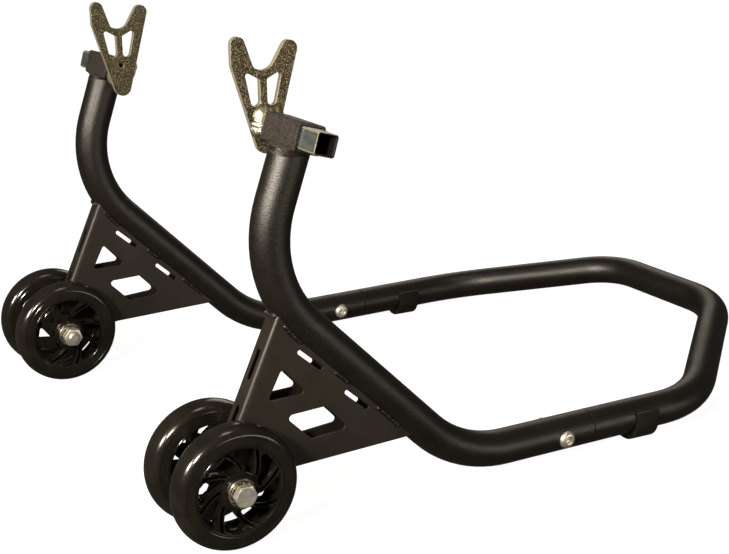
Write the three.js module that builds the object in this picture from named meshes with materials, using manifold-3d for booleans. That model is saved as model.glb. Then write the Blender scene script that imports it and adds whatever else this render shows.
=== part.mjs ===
// Rear paddock stand for a motorcycle, in millimetres: +X points to the handle, +Z up, Y across.
// Two bent tube arms stand on pairs of wheels and are bolted to one U-shaped handle. A square socket on
// top of each arm holds a square tube that slides sideways and carries a hook plate.
// Positions along X are measured from the wheel axle, and the last lines move the stand to its own frame.

import * as THREE from "three";
import { mergeVertices, toCreasedNormals } from "three/addons/utils/BufferGeometryUtils.js";
import Module from "manifold-3d";

const wasm = await Module();
wasm.setup();

// ---- Driving dimensions ----

const GAP = 0.3; // between neighbouring pieces

const TUBE_RADIUS = 15.4;
const TUBE_WALL = 2;
const TUBE_SIDES = 16;
const BEND_STEP = THREE.MathUtils.degToRad(10);

const ARM_Y = 201;
const ARM_TOP = new THREE.Vector3(59.2, ARM_Y, 288);
const ARM_BELLY = new THREE.Vector3(29.2, ARM_Y, 197.7);
const ARM_HEEL = new THREE.Vector3(218, ARM_Y, 17.5);
const HANDLE_SHOULDER = new THREE.Vector3(478, 205.6, 23.1);
const HANDLE_CORNER = new THREE.Vector3(620.2, 81.3, 58.8);
const BELLY_BEND = 95;
const HEEL_BEND = 110;
const SHOULDER_BEND = 104;
const CORNER_BEND = 75;
const SEAM_X = 350.4;

const WHEEL_RADIUS = 50;
const WHEEL_OFFSET = 26; // from the arm's plane to each wheel's middle
const TYRE_HALF_WIDTH = 12;
const CROWN_START_RADIUS = 42.6;
const RIM_RADIUS = 35.7;
const RIM_HALF_WIDTH = 12.4;
const BOSS_RADIUS = 13.4;
const BOSS_HALF_WIDTH = 14.5;
const SPOKE_COUNT = 8;
const SPOKE_SWIRL = THREE.MathUtils.degToRad(30);
const FIRST_OPENING = {
  outerWheel: THREE.MathUtils.degToRad(12),
  innerWheel: THREE.MathUtils.degToRad(27.5),
};
const BEARING = { outer: 11, bore: 5, width: 6 };

const AXLE_BOLT = { shank: 4.9, acrossFlats: 16, head: 6 };
const AXLE_NUT_HEIGHT = 8.4;
const AXLE_WASHER = { radius: 10.25, thickness: 1.6 };
const AXLE_END_STICK_OUT = 2.4;

const BRACKET_HALF_WIDTH = 9.3;
const SHEET = 2;

const SOCKET_TILT = THREE.MathUtils.degToRad(15);
const SOCKET_CENTRE = new THREE.Vector3(61.9, ARM_Y, 304.8);
const SOCKET = { side: 22, wall: 2, length: 54.5 };
const SLIDE_TUBE = { side: 17, wall: 1.5, outerEnd: 51.9 };
const HOOK = { face: -42, thickness: 5 };

const LOCK_BOLT = { shank: 4, acrossFlats: 13, head: 5.3, standOff: 3 };
const LOCK_NUT_HEIGHT = 6.5;
const LOCK_WASHER = { radius: 8, thickness: 1.6 };

const JOINT_BOLT = { x: 318.5, shank: 4, headRadius: 7.5, head: 4.4, socketRadius: 2.9, socketDepth: 2.6 };
const JOINT_NUT_HEIGHT = 6.5;
const SLEEVE = { start: 300, end: 400, wall: 2 };

const FOOT = { x: 408, length: 24, radius: 17.2, flatHalfWidth: 3.2, top: 8 };

const LENGTH_BEHIND_AXLE = WHEEL_RADIUS;
const LENGTH_AHEAD_OF_AXLE = HANDLE_CORNER.x + TUBE_RADIUS;

// ---- Materials ----

const material = (color, roughness, metalness) => new THREE.MeshStandardMaterial({ color, roughness, metalness });
const blackPaint = () => material(0x2b2824, 0.55, 0.2);
const blackPlastic = () => material(0x141414, 0.3, 0);
const rubber = () => material(0x0e0e0e, 0.45, 0);
const zinc = () => material(0xb9bab4, 0.35, 0.9);
const oliveZinc = () => material(0x8a8264, 0.4, 0.85);
const bearingSteel = () => material(0xc4c6c8, 0.25, 0.95);

// ---- Geometry helpers ----

// A closed three.js geometry as a solid for cutting and joining.
function solidOf(geometry) {
  geometry.deleteAttribute("normal");
  geometry.deleteAttribute("uv");
  const merged = mergeVertices(geometry, 1e-4);
  const mesh = new wasm.Mesh({
    numProp: 3,
    vertProperties: new Float32Array(merged.attributes.position.array),
    triVerts: new Uint32Array(merged.index.array),
  });
  return new wasm.Manifold(mesh);
}

function geometryOf(solid) {
  const { vertProperties, triVerts } = solid.getMesh();
  const geometry = new THREE.BufferGeometry();
  geometry.setAttribute("position", new THREE.BufferAttribute(new Float32Array(vertProperties), 3));
  geometry.setIndex(new THREE.BufferAttribute(new Uint32Array(triVerts), 1));
  return toCreasedNormals(geometry, THREE.MathUtils.degToRad(30));
}

const joined = (first, ...others) => others.reduce((solid, other) => solid.add(other), first);
const cut = (first, ...cutters) => cutters.reduce((solid, cutter) => solid.subtract(cutter), first);

function piece(name, shape, itsMaterial) {
  const geometry = shape.isBufferGeometry ? shape : geometryOf(shape);
  const mesh = new THREE.Mesh(geometry, itsMaterial);
  mesh.name = name;
  return mesh;
}

// A centreline of straight runs and round bends through corners {at, bend}, with one station at each end
// of a run and every BEND_STEP round a bend, so that straight runs take no extra sections.
class BentPath extends THREE.Curve {
  constructor(corners) {
    super();
    const last = corners.length - 1;
    const direction = (i) => corners[i + 1].at.clone().sub(corners[i].at).normalize();
    this.stations = [{ point: corners[0].at, tangent: direction(0) }];
    for (let i = 1; i < last; i++) this.addBend(corners[i], direction(i - 1), direction(i));
    this.stations.push({ point: corners[last].at, tangent: direction(last - 1) });
  }

  addBend({ at, bend }, inward, outward) {
    const turn = inward.angleTo(outward);
    const start = at.clone().addScaledVector(inward, -bend * Math.tan(turn / 2));
    const side = outward.clone().addScaledVector(inward, -Math.cos(turn)).normalize();
    const steps = Math.ceil(turn / BEND_STEP);
    for (let k = 0; k <= steps; k++) {
      const angle = (turn * k) / steps;
      const point = start
        .clone()
        .addScaledVector(inward, bend * Math.sin(angle))
        .addScaledVector(side, bend * (1 - Math.cos(angle)));
      const tangent = inward.clone().multiplyScalar(Math.cos(angle)).addScaledVector(side, Math.sin(angle));
      this.stations.push({ point, tangent });
    }
  }

  stationAt(u) {
    return this.stations[Math.round(u * (this.stations.length - 1))];
  }

  getPointAt(u) {
    return this.stationAt(u).point.clone();
  }

  getTangentAt(u) {
    return this.stationAt(u).tangent.clone();
  }
}

// A round tube along a bent path. An inner radius of 0 makes a solid rod.
function bentTube(corners, outerRadius, innerRadius) {
  const path = new BentPath(corners);
  const section = new THREE.Shape().absarc(0, 0, outerRadius, 0, Math.PI * 2);
  if (innerRadius > 0) section.holes.push(new THREE.Path().absarc(0, 0, innerRadius, 0, Math.PI * 2));
  const steps = path.stations.length - 1;
  return solidOf(
    new THREE.ExtrudeGeometry(section, { steps, extrudePath: path, curveSegments: TUBE_SIDES / 2 }),
  );
}

// A closed outline through corners [x, y, radius], each rounded by its radius.
function roundedOutline(corners) {
  const outline = new THREE.Shape();
  const at = (i) => new THREE.Vector2(...corners.at(i % corners.length));
  corners.forEach(([, , radius], i) => {
    const corner = at(i);
    const toPrevious = at(i - 1).sub(corner).normalize();
    const toNext = at(i + 1).sub(corner).normalize();
    const halfAngle = Math.acos(toPrevious.dot(toNext)) / 2;
    const bisector = toPrevious.clone().add(toNext).normalize();
    const centre = corner.clone().addScaledVector(bisector, radius / Math.sin(halfAngle));
    const reach = radius / Math.tan(halfAngle);
    const start = corner.clone().addScaledVector(toPrevious, reach).sub(centre).angle();
    const end = corner.clone().addScaledVector(toNext, reach).sub(centre).angle();
    const clockwise = toPrevious.cross(toNext) > 0;
    outline.absarc(centre.x, centre.y, radius, start, end, clockwise);
  });
  outline.closePath();
  return outline;
}

const CORNER_SEGMENTS = 2; // gives each rounded corner four short sides
const ROD_SIDES = 16;

// An outline drawn in the side view (its x along X and its y along Z), as thick as fromY to toY.
function sidePlate(outline, fromY, toY, curveSegments = CORNER_SEGMENTS) {
  const geometry = new THREE.ExtrudeGeometry(outline, {
    depth: toY - fromY,
    bevelEnabled: false,
    curveSegments,
  });
  return solidOf(geometry.rotateX(Math.PI / 2).translate(0, toY, 0));
}

function box(sizeX, sizeY, sizeZ, x, y, z) {
  return solidOf(new THREE.BoxGeometry(sizeX, sizeY, sizeZ).translate(x, y, z));
}

// A cylinder along Y. Six sides make a hexagon, whose radius is then to its corners.
function rodY(radius, fromY, toY, x = 0, z = 0, sides = ROD_SIDES) {
  const geometry = new THREE.CylinderGeometry(radius, radius, toY - fromY, sides);
  return solidOf(geometry.translate(x, (fromY + toY) / 2, z));
}

const hexRadius = (acrossFlats) => acrossFlats / Math.sqrt(3);

function ringY(outerRadius, innerRadius, fromY, toY, x = 0, z = 0, sides = ROD_SIDES) {
  const bore = rodY(innerRadius, fromY - 1, toY + 1, x, z);
  return cut(rodY(outerRadius, fromY, toY, x, z, sides), bore);
}

// A slot of the given width whose ends lie at two points of the side view, cut right through.
function sideSlot([x1, z1], [x2, z2], width, fromY, toY) {
  const along = new THREE.Vector2(x2 - x1, z2 - z1).setLength(width / 2);
  const across = new THREE.Vector2(-along.y, along.x);
  const corner = (x, z, c) => [x + c * across.x, z + c * across.y, width * 0.45];
  const corners = [corner(x1, z1, 1), corner(x1, z1, -1), corner(x2, z2, -1), corner(x2, z2, 1)];
  return sidePlate(roundedOutline(corners), fromY, toY);
}

// ---- Frame tubes ----

// A point of the straight run between the arm's heel and the handle's shoulder.
function legPoint(x) {
  const share = (x - ARM_HEEL.x) / (HANDLE_SHOULDER.x - ARM_HEEL.x);
  return ARM_HEEL.clone().lerp(HANDLE_SHOULDER, share);
}

const across = (point) => point.clone().multiply(new THREE.Vector3(1, -1, 1));

function armCorners() {
  const intoSocket = ARM_TOP.clone().sub(ARM_BELLY).setLength(20);
  return [
    { at: ARM_TOP.clone().add(intoSocket) },
    { at: ARM_BELLY, bend: BELLY_BEND },
    { at: ARM_HEEL, bend: HEEL_BEND },
    { at: legPoint(SEAM_X) },
  ];
}

// Everything above the plane on which the socket sits.
function socketSpace() {
  const height = 80;
  const geometry = new THREE.BoxGeometry(height, height, height);
  geometry.translate(0, 0, height / 2 - SOCKET.side / 2 - GAP);
  geometry.rotateY(SOCKET_TILT);
  geometry.translate(...SOCKET_CENTRE);
  return solidOf(geometry);
}

function jointHole(clearance) {
  const { x, y, z } = legPoint(JOINT_BOLT.x);
  const reach = TUBE_RADIUS + 5;
  return rodY(JOINT_BOLT.shank + clearance, y - reach, y + reach, x, z);
}

function arm() {
  const tube = bentTube(armCorners(), TUBE_RADIUS, TUBE_RADIUS - TUBE_WALL);
  return cut(tube, socketSpace(), jointHole(GAP));
}

function handle() {
  const half = [
    { at: legPoint(SEAM_X + GAP) },
    { at: HANDLE_SHOULDER, bend: SHOULDER_BEND },
    { at: HANDLE_CORNER, bend: CORNER_BEND },
  ];
  const otherHalf = half.map(({ at, bend }) => ({ at: across(at), bend })).reverse();
  return bentTube([...half, ...otherHalf], TUBE_RADIUS, TUBE_RADIUS - TUBE_WALL);
}

function jointSleeve() {
  const radius = TUBE_RADIUS - TUBE_WALL - GAP;
  const run = [{ at: legPoint(SLEEVE.start) }, { at: legPoint(SLEEVE.end) }];
  return cut(bentTube(run, radius, radius - SLEEVE.wall), jointHole(GAP));
}

// The button-headed bolt has its head on the side headSide of the tube, +1 or -1 along Y.
function jointBolt(headSide) {
  const { x, y, z } = legPoint(JOINT_BOLT.x);
  const seat = TUBE_RADIUS + GAP;
  const domeTop = seat + JOINT_BOLT.head;
  const tip = -(seat + JOINT_NUT_HEIGHT + 3);
  const profile = new THREE.Path();
  profile.moveTo(0, tip);
  profile.lineTo(JOINT_BOLT.shank, tip);
  profile.lineTo(JOINT_BOLT.shank, seat);
  profile.lineTo(JOINT_BOLT.headRadius, seat);
  profile.quadraticCurveTo(JOINT_BOLT.headRadius - 0.6, domeTop, JOINT_BOLT.socketRadius, domeTop);
  profile.lineTo(0, domeTop);
  const turned = solidOf(new THREE.LatheGeometry(profile.getPoints(4), ROD_SIDES));
  const hexSocket = rodY(JOINT_BOLT.socketRadius, domeTop - JOINT_BOLT.socketDepth, domeTop + 1, 0, 0, 6);
  const geometry = geometryOf(cut(turned, hexSocket));
  if (headSide < 0) geometry.rotateX(Math.PI);
  return geometry.translate(x, y, z);
}

function jointNut(headSide) {
  const { x, y, z } = legPoint(JOINT_BOLT.x);
  const near = y - headSide * (TUBE_RADIUS + GAP);
  const far = near - headSide * JOINT_NUT_HEIGHT;
  const bore = JOINT_BOLT.shank + GAP;
  return ringY(hexRadius(13), bore, Math.min(near, far), Math.max(near, far), x, z, 6);
}

// A U-shaped saddle under the handle's tube, thin at its sides and thick where it stands on the floor.
function foot() {
  const { y, z } = legPoint(FOOT.x);
  const outline = new THREE.Shape();
  const flatAngle = Math.asin(FOOT.flatHalfWidth / FOOT.radius);
  const roundCentre = FOOT.radius * Math.cos(flatAngle) - z;
  outline.moveTo(-FOOT.radius, FOOT.top);
  outline.absarc(0, roundCentre, FOOT.radius, Math.PI, 1.5 * Math.PI - flatAngle);
  outline.absarc(0, roundCentre, FOOT.radius, 1.5 * Math.PI + flatAngle, 2 * Math.PI);
  outline.lineTo(FOOT.radius, FOOT.top);
  outline.closePath();
  const geometry = new THREE.ExtrudeGeometry(outline, {
    depth: FOOT.length,
    bevelEnabled: false,
    curveSegments: 8,
  });
  geometry.rotateX(Math.PI / 2).rotateZ(Math.PI / 2);
  geometry.translate(FOOT.x - FOOT.length / 2, y, z);
  const run = [{ at: legPoint(FOOT.x - FOOT.length) }, { at: legPoint(FOOT.x + FOOT.length) }];
  return cut(solidOf(geometry), bentTube(run, TUBE_RADIUS + GAP, 0));
}

// ---- Wheel bracket and axle ----

const AXLE_Z = WHEEL_RADIUS;
const AXLE_TUBE_RADIUS = 8;

const FLANGE_TOP = [42.7, 166.1];
const FLANGE_FOOT = [12.4, 94];

// A point of the bracket's front edge at the height z.
function frontEdge(z) {
  const share = (FLANGE_TOP[1] - z) / (FLANGE_TOP[1] - FLANGE_FOOT[1]);
  return [FLANGE_TOP[0] + share * (FLANGE_FOOT[0] - FLANGE_TOP[0]), z];
}

// The side of the folded bracket. Its upper corners lie inside the arm's tube, which is cut away later.
function bracketSide() {
  return roundedOutline([
    [...frontEdge(176), 1],
    [...frontEdge(66), 6],
    [-16, 50, 9],
    [-5, 36, 8],
    [60, 45.9, 20],
    [170, 51.4, 1],
    [165, 68, 1],
    [72, 157, 1],
  ]);
}

function bracketWindows() {
  const triangle = [
    [48, 128.3, 2.5],
    [36, 103.7, 2.5],
    [69.5, 105.3, 2.5],
  ];
  const parallelogram = [
    [50.3, 89.1, 3],
    [73.8, 66.2, 3],
    [106.6, 69.2, 3],
    [85.2, 91.1, 3],
  ];
  return [triangle, parallelogram].map(roundedOutline);
}

function bracket() {
  const inner = ARM_Y - BRACKET_HALF_WIDTH;
  const outer = ARM_Y + BRACKET_HALF_WIDTH;
  const sides = [
    sidePlate(bracketSide(), inner, inner + SHEET),
    sidePlate(bracketSide(), outer - SHEET, outer),
  ];
  const [topX, topZ] = frontEdge(176);
  const [footX, footZ] = frontEdge(70);
  const flangeOutline = new THREE.Shape([
    new THREE.Vector2(topX, topZ),
    new THREE.Vector2(footX, footZ),
    new THREE.Vector2(footX + SHEET, footZ - 1),
    new THREE.Vector2(topX + SHEET, topZ - 1),
  ]);
  const flange = sidePlate(flangeOutline, inner, outer);
  const armTube = bentTube(armCorners(), TUBE_RADIUS + GAP, 0);
  const windows = bracketWindows().map((window) => sidePlate(window, inner - 1, outer + 1));
  const slots = [
    sideSlot([61.7, 140.1], [82.6, 122.4], 3.8, inner - 1, outer + 1),
    sideSlot([102.8, 100.5], [123.9, 82.4], 3.8, inner - 1, outer + 1),
  ];
  const flangeSlots = [132, 90].map((z) => {
    const [x] = frontEdge(z);
    return box(16, 6, 24, x, ARM_Y, z);
  });
  const axleHole = rodY(AXLE_TUBE_RADIUS + GAP, inner - 1, outer + 1, 0, AXLE_Z);
  return cut(joined(...sides, flange), armTube, ...windows, ...slots, ...flangeSlots, axleHole);
}

const wheelFace = (side) => ARM_Y + side * (WHEEL_OFFSET + BOSS_HALF_WIDTH);

function axleTube() {
  const half = WHEEL_OFFSET - BOSS_HALF_WIDTH - GAP;
  return ringY(AXLE_TUBE_RADIUS, AXLE_BOLT.shank + GAP, ARM_Y - half, ARM_Y + half, 0, AXLE_Z);
}

const washerOuterFace = AXLE_WASHER.thickness + GAP;

function axleWasher(side) {
  const near = wheelFace(side) + side * GAP;
  const far = wheelFace(side) + side * washerOuterFace;
  const bore = AXLE_BOLT.shank + GAP;
  return ringY(AXLE_WASHER.radius, bore, Math.min(near, far), Math.max(near, far), 0, AXLE_Z);
}

function axleBolt() {
  const headFrom = wheelFace(1) + washerOuterFace + GAP;
  const tip = wheelFace(-1) - washerOuterFace - GAP - AXLE_NUT_HEIGHT - AXLE_END_STICK_OUT;
  const head = rodY(hexRadius(AXLE_BOLT.acrossFlats), headFrom, headFrom + AXLE_BOLT.head, 0, AXLE_Z, 6);
  return joined(head, rodY(AXLE_BOLT.shank, tip, headFrom + 1, 0, AXLE_Z));
}

function axleNut() {
  const outerFace = wheelFace(-1) - washerOuterFace - GAP;
  const innerFace = outerFace - AXLE_NUT_HEIGHT;
  return ringY(hexRadius(AXLE_BOLT.acrossFlats), AXLE_BOLT.shank + GAP, innerFace, outerFace, 0, AXLE_Z, 6);
}

// ---- Wheels, each turned about its own Y axis with its middle at the origin ----

const WHEEL_SEGMENTS = 28;

// A ring turned about Y, from a closed profile of [radius, y] points.
function turnedRing(profile, segments) {
  const points = [...profile, profile[0]].map(([radius, y]) => new THREE.Vector2(radius, y));
  return solidOf(new THREE.LatheGeometry(points, segments));
}

function tyre() {
  const crownSteps = 6;
  const profile = [
    [RIM_RADIUS + GAP, TYRE_HALF_WIDTH],
    [RIM_RADIUS + GAP, -TYRE_HALF_WIDTH],
  ];
  for (let k = 0; k <= crownSteps; k++) {
    const angle = Math.PI * (k / crownSteps - 0.5);
    const radius = CROWN_START_RADIUS + (WHEEL_RADIUS - CROWN_START_RADIUS) * Math.cos(angle);
    profile.push([radius, TYRE_HALF_WIDTH * Math.sin(angle)]);
  }
  return turnedRing(profile, WHEEL_SEGMENTS);
}

// One opening between two spokes, as an outline about the hub's middle. Its inner end lags by the swirl.
function spokeOpening(angle) {
  const corner = (radius, turn, rounding) => [radius * Math.cos(turn), radius * Math.sin(turn), rounding];
  const innerHalf = THREE.MathUtils.degToRad(9);
  const outerHalf = THREE.MathUtils.degToRad(16.5);
  return roundedOutline([
    corner(16.5, angle - innerHalf, 1),
    corner(32.4, angle + SPOKE_SWIRL - outerHalf, 2.5),
    corner(32.4, angle + SPOKE_SWIRL + outerHalf, 2.5),
    corner(16.5, angle + innerHalf, 1),
  ]);
}

// The hub's swirl runs the other way when the wheel is turned round, as the inner wheels are.
function hub(turnedRound) {
  const spokeFront = 11;
  const spokeBack = -1;
  const firstOpening = turnedRound ? FIRST_OPENING.innerWheel : FIRST_OPENING.outerWheel;
  const seat = BEARING.outer + GAP;
  const seatDepth = BOSS_HALF_WIDTH - BEARING.width - GAP;
  const halfProfile = (end, spokeFace) => [
    [8, end * seatDepth],
    [seat, end * seatDepth],
    [seat, end * BOSS_HALF_WIDTH],
    [BOSS_RADIUS, end * BOSS_HALF_WIDTH],
    [BOSS_RADIUS + 1, spokeFace],
    [33, spokeFace],
    [34, end * RIM_HALF_WIDTH],
    [RIM_RADIUS, end * RIM_HALF_WIDTH],
  ];
  const back = halfProfile(-1, spokeBack).reverse();
  const blank = turnedRing([...back, ...halfProfile(1, spokeFront)].reverse(), WHEEL_SEGMENTS);
  const openings = Array.from({ length: SPOKE_COUNT }, (_, k) =>
    sidePlate(spokeOpening(firstOpening + (k * 2 * Math.PI) / SPOKE_COUNT), -20, 20, 1),
  );
  const geometry = geometryOf(cut(blank, ...openings));
  return turnedRound ? geometry.rotateX(Math.PI) : geometry;
}

// The bearing at the end `side` of the hub, flush with the end of the boss.
function bearing(side) {
  const middle = side * (BOSS_HALF_WIDTH - BEARING.width / 2);
  const half = BEARING.width / 2;
  return ringY(BEARING.outer, BEARING.bore + GAP, middle - half, middle + half);
}

function bearingSpacer() {
  const half = BOSS_HALF_WIDTH - BEARING.width - GAP;
  return ringY(6.6, AXLE_BOLT.shank + GAP, -half, half);
}

function wheel(label, offset, turnedRound) {
  const group = new THREE.Group();
  group.position.set(0, ARM_Y + offset, AXLE_Z);
  group.add(
    piece(`tyre_${label}`, tyre(), rubber()),
    piece(`hub_${label}`, hub(turnedRound), blackPlastic()),
    piece(`bearing_out_${label}`, bearing(1), bearingSteel()),
    piece(`bearing_in_${label}`, bearing(-1), bearingSteel()),
    piece(`bearing_spacer_${label}`, bearingSpacer(), zinc()),
  );
  return group;
}

// ---- Head of the arm: socket, slide tube, hook plate and lock bolt ----
// Drawn with the socket's middle at the origin, its length along Y and its lock bolt towards +X.

function roundedSquare(side, radius) {
  const half = side / 2;
  return roundedOutline([
    [-half, -half, radius],
    [half, -half, radius],
    [half, half, radius],
    [-half, half, radius],
  ]);
}

function squareTube(side, wall, fromY, toY) {
  const outside = sidePlate(roundedSquare(side, 2), fromY, toY);
  const inside = sidePlate(roundedSquare(side - 2 * wall, 0.8), fromY - 1, toY + 1);
  return cut(outside, inside);
}

// A cylinder along X, for the lock bolt.
function rodX(radius, fromX, toX, sides = ROD_SIDES) {
  const geometry = new THREE.CylinderGeometry(radius, radius, toX - fromX, sides);
  return solidOf(geometry.rotateZ(-Math.PI / 2).translate((fromX + toX) / 2, 0, 0));
}

function socket() {
  const half = SOCKET.length / 2;
  const lockHole = rodX(LOCK_BOLT.shank + GAP, 5, 15);
  return cut(squareTube(SOCKET.side, SOCKET.wall, -half, half), lockHole);
}

function slideTube() {
  return squareTube(SLIDE_TUBE.side, SLIDE_TUBE.wall, HOOK.face + GAP, SLIDE_TUBE.outerEnd);
}

// The notch for the bobbin opens upwards between the tall right tip and the splayed left tip.
function hookPlate() {
  const outline = roundedOutline([
    [11.6, -42, 8.2],
    [9.5, 105, 6.5],
    [-8.6, 38, 10],
    [-21.5, 38, 4.5],
    [-54.2, 84.3, 5.8],
    [-39.5, 35.7, 3],
  ]);
  const leftWindow = roundedOutline([
    [2, -23, 4],
    [-14.5, 31.2, 1.5],
    [-28.7, 34.3, 2.2],
  ]);
  const rightWindow = roundedOutline([
    [4.5, -11.8, 3.7],
    [1.8, 42.4, 2.5],
    [-8.9, 32.6, 1.5],
  ]);
  const from = HOOK.face - HOOK.thickness;
  const plate = sidePlate(outline, from, HOOK.face, 4);
  const windows = [leftWindow, rightWindow].map((window) => sidePlate(window, from - 1, HOOK.face + 1));
  const drainHole = rodY(2.7, from - 1, HOOK.face + 1, -3, 5.9, 12);
  return cut(plate, ...windows, drainHole);
}

const lockNutFace = SOCKET.side / 2 + GAP;
const lockWasherFace = lockNutFace + LOCK_NUT_HEIGHT + LOCK_BOLT.standOff;
const lockHeadFace = lockWasherFace + LOCK_WASHER.thickness + GAP;

function lockNut() {
  const bore = rodX(LOCK_BOLT.shank + GAP, lockNutFace - 1, lockWasherFace);
  return cut(rodX(hexRadius(13), lockNutFace, lockNutFace + LOCK_NUT_HEIGHT, 6), bore);
}

function lockWasher() {
  const bore = rodX(LOCK_BOLT.shank + GAP, lockWasherFace - 1, lockHeadFace + 1);
  return cut(rodX(LOCK_WASHER.radius, lockWasherFace, lockWasherFace + LOCK_WASHER.thickness), bore);
}

function lockBolt() {
  const tip = SLIDE_TUBE.side / 2 + GAP;
  const head = rodX(hexRadius(LOCK_BOLT.acrossFlats), lockHeadFace, lockHeadFace + LOCK_BOLT.head, 6);
  return joined(head, rodX(LOCK_BOLT.shank, tip, lockHeadFace + 1));
}

function armHead(label) {
  const group = new THREE.Group();
  group.position.copy(SOCKET_CENTRE);
  group.rotation.y = SOCKET_TILT;
  group.add(
    piece(`socket_${label}`, socket(), blackPaint()),
    piece(`slide_tube_${label}`, slideTube(), zinc()),
    piece(`hook_plate_${label}`, hookPlate(), oliveZinc()),
    piece(`lock_nut_${label}`, lockNut(), blackPaint()),
    piece(`lock_washer_${label}`, lockWasher(), zinc()),
    piece(`lock_bolt_${label}`, lockBolt(), zinc()),
  );
  return group;
}

// ---- One side of the stand, drawn at +Y. The left side is its mirror image, ----
// ---- apart from the joint bolt, whose head points to -Y on both sides.      ----

function standSide(label, isMirrored) {
  const headSide = isMirrored ? 1 : -1;
  const group = new THREE.Group();
  group.scale.y = isMirrored ? -1 : 1;
  group.add(
    piece(`arm_${label}`, arm(), blackPaint()),
    piece(`bracket_${label}`, bracket(), blackPaint()),
    piece(`axle_tube_${label}`, axleTube(), blackPaint()),
    piece(`axle_bolt_${label}`, axleBolt(), zinc()),
    piece(`axle_washer_head_${label}`, axleWasher(1), oliveZinc()),
    piece(`axle_washer_nut_${label}`, axleWasher(-1), oliveZinc()),
    piece(`axle_nut_${label}`, axleNut(), zinc()),
    piece(`joint_sleeve_${label}`, jointSleeve(), blackPaint()),
    piece(`joint_bolt_${label}`, jointBolt(headSide), zinc()),
    piece(`joint_nut_${label}`, jointNut(headSide), zinc()),
    piece(`foot_${label}`, foot(), blackPaint()),
    wheel(`${label}_outer`, WHEEL_OFFSET, false),
    wheel(`${label}_inner`, -WHEEL_OFFSET, true),
    armHead(label),
  );
  return group;
}

const group = new THREE.Group();
group.add(piece("handle", handle(), blackPaint()), standSide("right", false), standSide("left", true));
group.position.x = (LENGTH_BEHIND_AXLE - LENGTH_AHEAD_OF_AXLE) / 2;

export default group;
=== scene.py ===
import math

import bmesh
import bpy
from mathutils import Matrix, Vector, noise
from mathutils.geometry import tessellate_polygon


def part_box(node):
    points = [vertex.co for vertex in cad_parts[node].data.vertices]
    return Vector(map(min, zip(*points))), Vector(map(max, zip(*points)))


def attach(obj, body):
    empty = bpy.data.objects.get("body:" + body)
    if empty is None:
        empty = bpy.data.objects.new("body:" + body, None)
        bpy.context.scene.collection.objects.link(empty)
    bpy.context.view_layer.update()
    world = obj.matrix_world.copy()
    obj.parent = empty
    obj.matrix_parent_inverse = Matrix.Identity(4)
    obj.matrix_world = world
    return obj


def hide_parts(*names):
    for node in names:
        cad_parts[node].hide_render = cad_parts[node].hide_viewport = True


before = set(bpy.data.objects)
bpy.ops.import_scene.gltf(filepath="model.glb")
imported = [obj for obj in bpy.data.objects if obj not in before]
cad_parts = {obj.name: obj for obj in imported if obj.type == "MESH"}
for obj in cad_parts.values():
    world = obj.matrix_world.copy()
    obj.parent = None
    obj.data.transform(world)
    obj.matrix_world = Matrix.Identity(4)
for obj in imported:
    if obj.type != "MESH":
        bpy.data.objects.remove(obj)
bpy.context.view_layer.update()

# ---- Sizes, in millimetres ----

wheel_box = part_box("tyre_right_outer")
AXLE_X = 500 * (wheel_box[0].x + wheel_box[1].x)  # the axle's place in the stand's own frame
SIDES = {"right": 1, "left": -1}

TUBE_RADIUS = 15.4
TUBE_BORE_RADIUS = 13.4
TUBE_BORE_DEPTH = 30
TUBE_LIP = 0.45
ARM_Y = 201
ARM_TOP = Vector((57.9, ARM_Y, 288))
ARM_BELLY = Vector((29.2, ARM_Y, 197.7))
ARM_HEEL = Vector((218, ARM_Y, 17.5))
HANDLE_SHOULDER = Vector((478, 205.6, 23.1))
HANDLE_CORNER = Vector((620.2, 81.3, 58.8))
BELLY_BEND = 95
HEEL_BEND = 110
SHOULDER_BEND = 104
CORNER_BEND = 75
SEAM_X = 350.4
SEAM_GAP = 0.3

SOCKET_TILT = math.radians(15)
SOCKET_CENTRE = Vector((61.9, ARM_Y, 304.8))
SOCKET_SIDE = 22
SOCKET_WALL = 2
SOCKET_HALF_LENGTH = 27.25
SLIDE_SIDE = 17
SLIDE_WALL = 1.5
SLIDE_OUTER_END = 51.9
HOOK_FACE = -42
HOOK_THICKNESS = 5

AXLE_Z = 50
WHEEL_OFFSET = 26
RIM_RADIUS = 35.7
RIM_HALF_WIDTH = 12.4
BOSS_HALF_WIDTH = 14.5

M8_RADIUS, M8_PITCH, M8_FLATS = 4, 1.25, 13
M10_RADIUS, M10_PITCH, M10_FLATS = 4.9, 1.5, 16

JOINT_X = 318.5
FOOT_X = 408
FOOT_LENGTH = 24


# ---- Shapes ----


class Shape:
    """Points in millimetres and the faces between them. A flat face keeps hard edges all round."""

    def __init__(self):
        self.points = []
        self.faces = []
        self.flat = []

    def add_points(self, points):
        first = len(self.points)
        self.points.extend(Vector(point) for point in points)
        return list(range(first, len(self.points)))

    def add_face(self, corners, flat=False):
        self.faces.append(corners)
        self.flat.append(flat)

    def add_band(self, ring, next_ring):
        count = len(ring)
        for i in range(count):
            j = (i + 1) % count
            self.add_face([ring[i], ring[j], next_ring[j], next_ring[i]])

    def add_rings(self, rings, joined=False, start_cap=False, end_cap=False):
        """Skins rings of points that all have the same count. joined also skins the last to the first."""
        indices = [self.add_points(ring) for ring in rings]
        for ring, next_ring in zip(indices, indices[1:]):
            self.add_band(ring, next_ring)
        if joined:
            self.add_band(indices[-1], indices[0])
        if start_cap:
            self.add_face(indices[0][::-1], flat=True)
        if end_cap:
            self.add_face(indices[-1], flat=True)


def inset_loop(loop, distances):
    """A closed loop moved to its left by a distance at each point."""
    moved = []
    count = len(loop)
    for i, point in enumerate(loop):
        before = (point - loop[i - 1]).normalized()
        after = (loop[(i + 1) % count] - point).normalized()
        left = Vector((-before.y - after.y, before.x + after.x))
        if left.length > 0:
            left.normalize()
        moved.append(point + left * distances[i])
    return moved


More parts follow.
